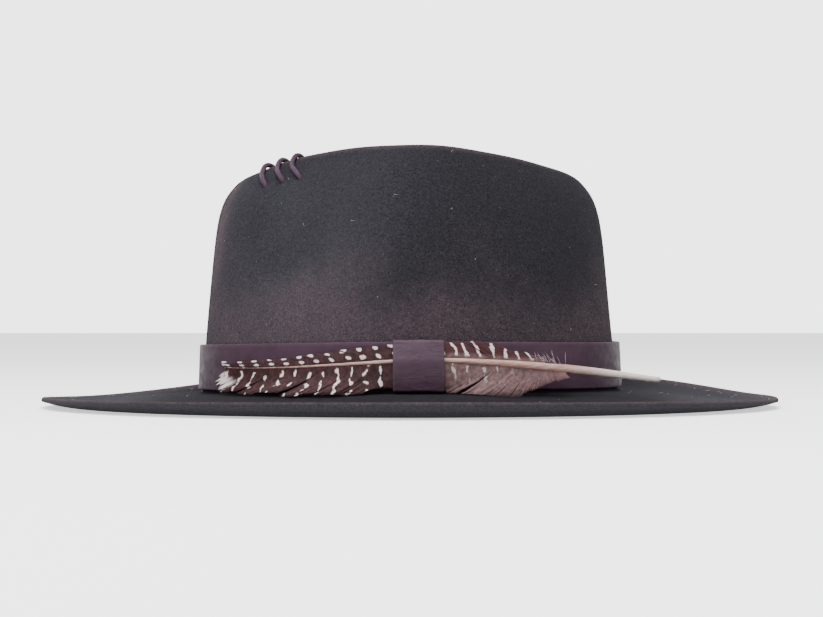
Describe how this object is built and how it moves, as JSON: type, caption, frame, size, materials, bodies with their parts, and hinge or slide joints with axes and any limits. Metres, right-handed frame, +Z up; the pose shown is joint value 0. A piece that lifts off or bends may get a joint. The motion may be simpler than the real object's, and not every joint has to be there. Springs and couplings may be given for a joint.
{
  "type": "fedora hat",
  "caption": "Wide-brimmed felt hat with a teardrop crown, rolled brim edge, leather band, feather held under a leather loop and whip-laced crest.",
  "frame": {"origin": "centre of the hat seen from above, on the level its brim rests on", "axes": "+Z up, -Y towards the front of the hat, +X towards the wearer's left, the side with the feather"},
  "size_m": [0.3246, 0.3645, 0.1268],
  "materials": {
    "felt": "charcoal wool felt, matte nap, brushed brown and plum on the rim, crest and lower crown",
    "band_leather": "smooth plum leather, low sheen",
    "lace_leather": "plum leather lace, low sheen",
    "quill": "horn, pale pinkish brown, stands in for feather shaft",
    "vane": "brown feather barbs with white spots",
    "sweat_leather": "thin dark brown leather",
    "reed_tape": "woven dark tape over a reed",
    "thread": "plum grey thread",
    "ribbon": "narrow dark satin ribbon"
  },
  "bodies": {
    "hat": {"felt_body": "felt", "ridge_lace": "lace_leather", "sweatband": "sweat_leather", "sweatband_reed": "reed_tape", "sweatband_stitching": "thread", "bow_loop_left": "ribbon", "bow_loop_right": "ribbon", "bow_knot": "ribbon"},
    "hatband": {"hatband_strap": "band_leather", "hatband_keeper": "band_leather"},
    "feather": {"feather_shaft": "quill", "feather_leading_vane": "vane", "feather_trailing_vane": "vane"}
  },
  "joints": [
    {"name": "hatband_lift", "type": "slide", "parent": "hat", "child": "hatband", "axis": [0, 0, 1], "range_m": [0, 0.13]},
    {"name": "feather_draw", "type": "hinge", "parent": "hatband", "child": "feather", "pos_m": [-0.0342, 0, 0], "axis": [0, 0, 1], "range_deg": [-2, 3], "deforming": ["feather_leading_vane", "feather_trailing_vane"]}
  ]
}
